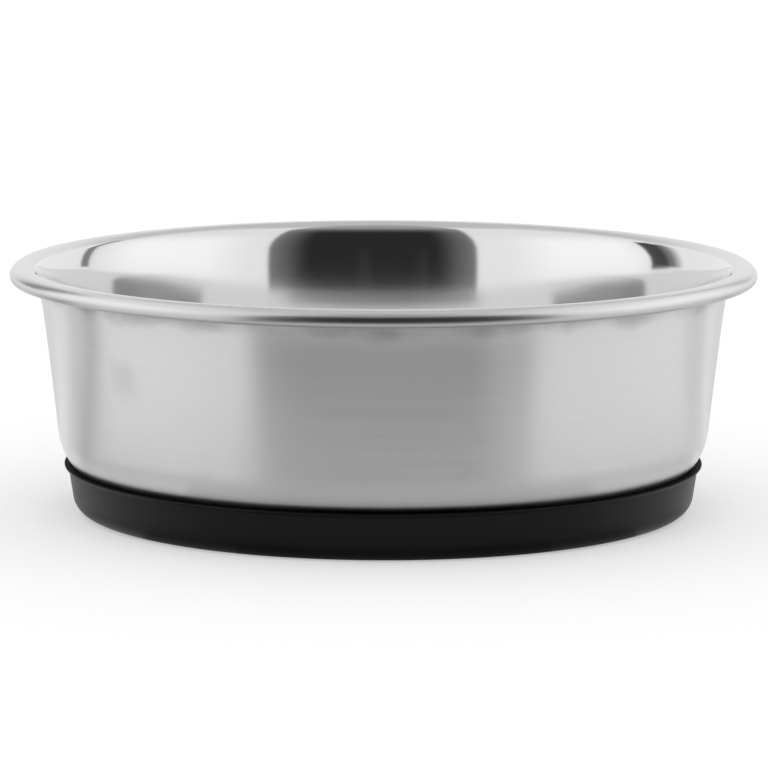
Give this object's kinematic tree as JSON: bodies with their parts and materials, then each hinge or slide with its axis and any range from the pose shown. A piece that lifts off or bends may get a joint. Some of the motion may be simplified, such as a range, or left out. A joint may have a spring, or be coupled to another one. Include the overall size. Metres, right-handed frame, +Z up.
{
  "type": "pet bowl",
  "caption": "Round stainless steel pet bowl with drafted wall, hollow rolled rim and a bonded black rubber non-skid base ring.",
  "frame": {"origin": "centre of the ring's flat foot, on the surface the bowl stands on", "axes": "+Z up along the bowl's axis of revolution; X and Y lie in the foot plane and are interchangeable"},
  "size_m": [0.21, 0.21, 0.07],
  "materials": {
    "steel": "stainless steel: satin outside wall brushed round the bowl, bright polished rim and inside",
    "rubber": "black moulded rubber, smooth, low sheen",
    "bond": "cured elastic adhesive, dark grey, hidden"
  },
  "bodies": {
    "root": {"bowl_shell": "steel", "base_ring": "rubber", "bond_bead": "bond"}
  },
  "joints": []
}
